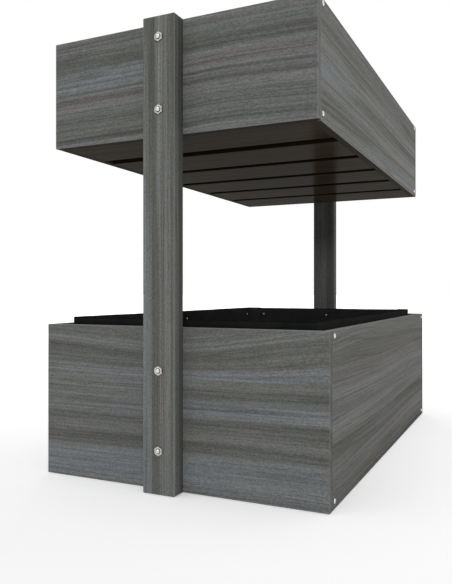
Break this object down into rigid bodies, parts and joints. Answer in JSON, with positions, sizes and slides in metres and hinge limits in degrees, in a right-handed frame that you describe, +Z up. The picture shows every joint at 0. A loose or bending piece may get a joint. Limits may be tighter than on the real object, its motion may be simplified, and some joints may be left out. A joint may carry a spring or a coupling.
{
  "type": "plant stand",
  "caption": "Plant stand with long open planter boxes one above the other, slatted below and lined with cloth, bolted between upright posts.",
  "frame": {"origin": "on the floor, under the middle of the lower box", "axes": "+X across the boxes, +Y along them from the front end to the rear end, +Z up"},
  "size_m": [0.4602, 0.8282, 0.6818],
  "materials": {
    "panel_wood": "grey stained, satin",
    "post_wood": "grey stained, satin",
    "slat_wood": "dark stained, satin",
    "batten_wood": "dark stained, matt",
    "liner_cloth": "matt, felted",
    "fastener_steel": "zinc plated, bright"
  },
  "bodies": {
    "root": {"lower_cleat_front_left": "batten_wood", "lower_cleat_front_right": "batten_wood", "lower_cleat_rear_left": "batten_wood", "lower_cleat_rear_right": "batten_wood", "lower_end_front": "panel_wood", "lower_end_rear": "panel_wood", "lower_ledger_left": "batten_wood", "lower_ledger_right": "batten_wood", "lower_liner": "liner_cloth", "lower_liner_tacks": "fastener_steel", "lower_rail_front": "batten_wood", "lower_rail_left": "batten_wood", "lower_rail_rear": "batten_wood", "lower_rail_right": "batten_wood", "lower_side_left": "panel_wood", "lower_side_right": "panel_wood", "lower_side_screws": "fastener_steel", "lower_slat_1": "slat_wood", "lower_slat_2": "slat_wood", "lower_slat_3": "slat_wood", "lower_slat_4": "slat_wood", "lower_slat_5": "slat_wood", "lower_slat_6": "slat_wood", "post_bolts": "fastener_steel", "post_front": "post_wood", "post_nuts": "fastener_steel", "post_rear": "post_wood", "upper_cleat_front_left": "batten_wood", "upper_cleat_front_right": "batten_wood", "upper_cleat_rear_left": "batten_wood", "upper_cleat_rear_right": "batten_wood", "upper_end_front": "panel_wood", "upper_end_rear": "panel_wood", "upper_ledger_left": "batten_wood", "upper_ledger_right": "batten_wood", "upper_liner": "liner_cloth", "upper_liner_tacks": "fastener_steel", "upper_rail_front": "batten_wood", "upper_rail_left": "batten_wood", "upper_rail_rear": "batten_wood", "upper_rail_right": "batten_wood", "upper_side_left": "panel_wood", "upper_side_right": "panel_wood", "upper_side_screws": "fastener_steel", "upper_slat_1": "slat_wood", "upper_slat_2": "slat_wood", "upper_slat_3": "slat_wood", "upper_slat_4": "slat_wood", "upper_slat_5": "slat_wood", "upper_slat_6": "slat_wood"}
  },
  "joints": []
}
